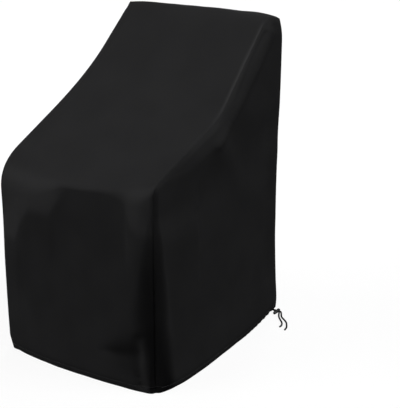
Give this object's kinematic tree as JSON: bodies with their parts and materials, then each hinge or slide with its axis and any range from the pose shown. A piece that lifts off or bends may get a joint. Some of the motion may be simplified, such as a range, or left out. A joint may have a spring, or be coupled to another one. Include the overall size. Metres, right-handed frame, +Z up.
{
  "type": "garden chair cover",
  "caption": "Slip-on cloth cover shaped for a high-backed garden chair, open underneath, with a drawcord at the hem and a push-button cord lock.",
  "frame": {"origin": "on the underside of the top, midway across, where the top of the chair's back holds the cover up", "axes": "+Z up, -Y towards the front, +X towards the side where the drawcord comes out"},
  "size_m": [0.8193, 0.868, 1.2038],
  "materials": {
    "cloth": "matte coated weave",
    "cord": "braided",
    "lock_barrel": "satin moulded",
    "lock_button": "satin moulded"
  },
  "bodies": {
    "cover": {"centre_panel": "cloth", "side_panel_left": "cloth", "side_panel_right": "cloth", "back_panel": "cloth", "drawcord_end_short": "cord", "drawcord_end_long": "cord", "cord_lock_barrel": "lock_barrel"},
    "lock_button": {"cord_lock_button": "lock_button"}
  },
  "joints": [
    {"name": "button_press", "type": "slide", "parent": "cover", "child": "lock_button", "axis": [0, 1, 0], "range_m": [0, 0.0035], "stiffness_N_per_m": 600, "springref_m": -0.001}
  ]
}
